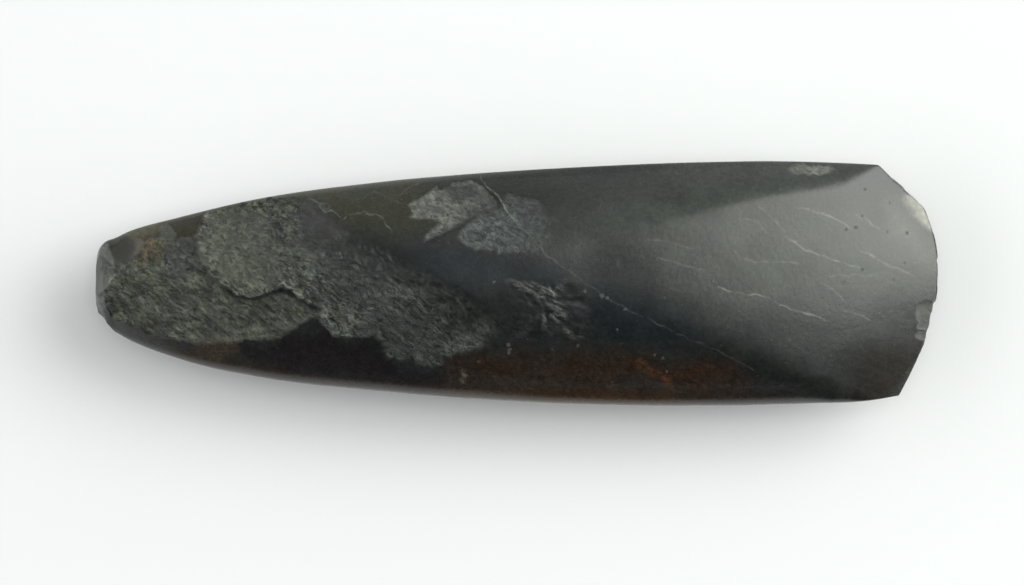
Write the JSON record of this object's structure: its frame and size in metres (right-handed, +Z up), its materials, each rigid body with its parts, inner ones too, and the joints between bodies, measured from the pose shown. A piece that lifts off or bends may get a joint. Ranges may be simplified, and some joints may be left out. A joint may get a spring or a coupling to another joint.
{
  "type": "polished stone axe head",
  "caption": "Polished stone axe head with a broad lens section between narrow upright sides, a flaked blunt butt and a curved ground cutting edge, lying on its belly.",
  "frame": {"origin": "middle of the bounding box in X and Y, at the height of the surface that the axe head lies on", "axes": "+X from the butt to the cutting edge, +Y towards the blade's clipped corner, +Z up through the flaked face"},
  "size_m": [0.1612, 0.0468, 0.0286],
  "materials": {
    "greenstone": "satin"
  },
  "bodies": {
    "root": {"axe_head": "greenstone"}
  },
  "joints": []
}
